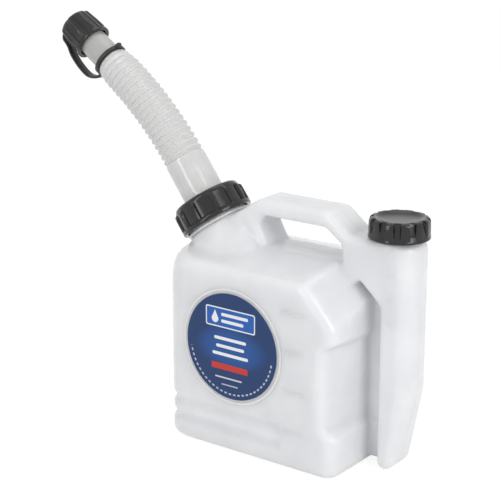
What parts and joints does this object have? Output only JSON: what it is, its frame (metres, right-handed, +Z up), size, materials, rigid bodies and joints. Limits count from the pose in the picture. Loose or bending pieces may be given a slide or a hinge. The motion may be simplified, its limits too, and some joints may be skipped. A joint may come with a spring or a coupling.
{
  "type": "fuel mixing bottle",
  "caption": "Translucent one-litre fuel mixing bottle with carry handle, slim side column for oil, flexible corrugated pouring spout and tethered screw caps.",
  "frame": {"origin": "middle of the tank's flat base, under the handle's parting plane", "axes": "+Z up, -Y out of the labelled front, -X towards the pouring spout, +X towards the oil column; Y = 0 is the moulding's parting plane"},
  "size_m": [0.289, 0.092, 0.2645],
  "materials": {
    "natural_shell": "natural translucent polyethylene, blow moulded, soft satin",
    "natural_spout": "natural translucent polyethylene, satin",
    "black_gloss": "black polypropylene, glossy",
    "black_soft": "black flexible polyethylene, satin",
    "seal_rubber": "grey sealing rubber, matt",
    "liner_foam": "off-white liner foam, matt",
    "printed_label": "blue printed film with a clear gloss"
  },
  "bodies": {
    "bottle": {"bottle_body": "natural_shell", "label": "printed_label"},
    "neck_seal": {"spout_gasket": "seal_rubber"},
    "collar": {"spout_collar": "black_gloss"},
    "spout": {"flexible_spout": "natural_spout", "cap_tether": "black_soft"},
    "tip_seal": {"tip_cap_liner": "liner_foam"},
    "tip_closure": {"tip_cap": "black_gloss"},
    "oil_seal": {"oil_cap_liner": "liner_foam"},
    "oil_closure": {"oil_cap": "black_gloss"}
  },
  "joints": [
    {"name": "spout_lift", "type": "slide", "parent": "bottle", "child": "neck_seal", "axis": [-0.5913, 0, 0.8064], "range_m": [0, 0.008]},
    {"name": "collar_turn", "type": "hinge", "parent": "neck_seal", "child": "collar", "pos_m": [-0.06, 0, 0.14491], "axis": [-0.5913, 0, 0.8064], "range_deg": [0, 720]},
    {"name": "spout_swivel", "type": "hinge", "parent": "neck_seal", "child": "spout", "pos_m": [-0.06, 0, 0.14491], "axis": [-0.5913, 0, 0.8064], "continuous": true},
    {"name": "tip_cap_lift", "type": "slide", "parent": "spout", "child": "tip_seal", "axis": [-0.8192, 0, 0.5736], "range_m": [0, 0.006], "deforming": ["cap_tether"]},
    {"name": "tip_cap_turn", "type": "hinge", "parent": "tip_seal", "child": "tip_closure", "pos_m": [-0.15938, 0, 0.24373], "axis": [-0.8192, 0, 0.5736], "range_deg": [0, 720]},
    {"name": "oil_cap_lift", "type": "slide", "parent": "bottle", "child": "oil_seal", "axis": [0, 0, 1], "range_m": [0, 0.007]},
    {"name": "oil_cap_turn", "type": "hinge", "parent": "oil_seal", "child": "oil_closure", "pos_m": [0.084, 0, 0.15], "axis": [0, 0, 1], "range_deg": [0, 720]}
  ],
  "couplings": [
    {"joint": "spout_lift", "follows": "collar_turn", "m_per_rad": 0.0006366},
    {"joint": "tip_cap_lift", "follows": "tip_cap_turn", "m_per_rad": 0.0004774},
    {"joint": "oil_cap_lift", "follows": "oil_cap_turn", "m_per_rad": 0.000557}
  ]
}
